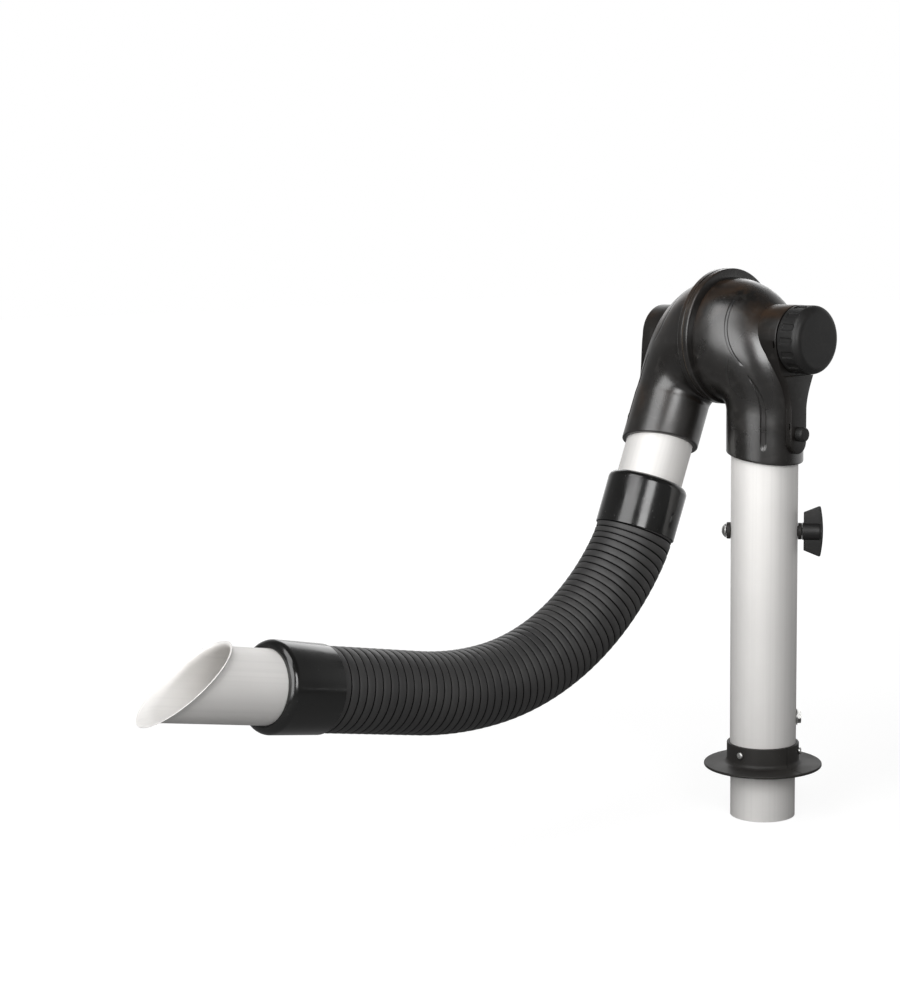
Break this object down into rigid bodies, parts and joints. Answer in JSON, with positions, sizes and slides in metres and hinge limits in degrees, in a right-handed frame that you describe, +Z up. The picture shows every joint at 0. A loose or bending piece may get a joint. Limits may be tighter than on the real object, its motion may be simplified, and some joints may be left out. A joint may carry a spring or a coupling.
{
  "type": "fume extraction arm",
  "caption": "Bench-top fume extraction arm: swivelling duct mast with a damper, friction elbow, self-supporting ribbed hose and a mitred, flared suction nozzle.",
  "frame": {"origin": "on the mast's axis at the underside of the bench flange, which is the bench top", "axes": "+Z up along the mast, +X the way the arm reaches, +Y towards the friction knob; the arm and hose hang in the plane 112 mm to the -Y side"},
  "size_m": [0.8298, 0.2418, 0.62],
  "materials": {
    "anodised_tube": "satin anodised",
    "shell_black": "satin moulded",
    "knob_black": "matt moulded",
    "flange_black": "satin moulded",
    "cuff_rubber": "glossy",
    "hose_rubber": "matt",
    "zinc": "bright zinc",
    "steel": "plain",
    "brass": "plain",
    "friction_lining": "matt fibre"
  },
  "bodies": {
    "base": {"bench_flange": "flange_black", "spigot_tube": "anodised_tube", "collar_screw_1": "zinc", "collar_screw_2": "zinc", "collar_screw_3": "zinc"},
    "mast": {"mast_tube": "anodised_tube", "lock_washer": "zinc", "lock_bolt": "zinc", "damper_bush_handle_side": "flange_black", "damper_bush_far_side": "flange_black", "lower_elbow_shell": "shell_black", "lower_bracket": "shell_black", "lower_bracket_screw": "knob_black", "friction_bolt": "zinc", "spring_washers": "steel", "thrust_washer": "steel", "seal_ring": "friction_lining"},
    "damper": {"damper_shaft": "steel", "damper_disc": "anodised_tube", "damper_screw_1": "zinc", "damper_screw_2": "zinc", "damper_cap_screw": "zinc", "wing_handle": "knob_black"},
    "knob": {"friction_knob": "knob_black", "knob_insert": "brass"},
    "arm": {"upper_elbow_shell": "shell_black", "upper_bracket": "shell_black", "upper_bracket_screw": "knob_black", "bolt_cap": "shell_black", "friction_disc": "friction_lining", "arm_tube": "anodised_tube", "upper_cuff": "cuff_rubber", "ribbed_hose": "hose_rubber"},
    "hood": {"lower_cuff": "cuff_rubber"},
    "nozzle": {"nozzle_pipe": "anodised_tube"}
  },
  "joints": [
    {"name": "base_swivel", "type": "hinge", "parent": "base", "child": "mast", "pos_m": [0, 0, 0.0238], "axis": [0, 0, 1], "continuous": true},
    {"name": "damper_turn", "type": "hinge", "parent": "mast", "child": "damper", "pos_m": [0, 0, 0.27], "axis": [-0.6157, 0.788, 0], "range_deg": [0, 90]},
    {"name": "knob_turn", "type": "hinge", "parent": "mast", "child": "knob", "pos_m": [0, 0.058, 0.486], "axis": [0, 1, 0], "range_deg": [-180, 180]},
    {"name": "elbow_swing", "type": "hinge", "parent": "mast", "child": "arm", "pos_m": [0, -0.056, 0.486], "axis": [0, -1, 0], "range_deg": [-6, 125]},
    {"name": "hose_bend", "type": "hinge", "parent": "arm", "child": "hood", "pos_m": [0.17147, -0.112, 0.08593], "axis": [0, -1, 0], "range_deg": [-7, 45], "deforming": ["ribbed_hose"]},
    {"name": "nozzle_twist", "type": "hinge", "parent": "hood", "child": "nozzle", "pos_m": [0.61137, -0.112, 0.17304], "axis": [0.981, 0, 0.1942], "continuous": true}
  ]
}
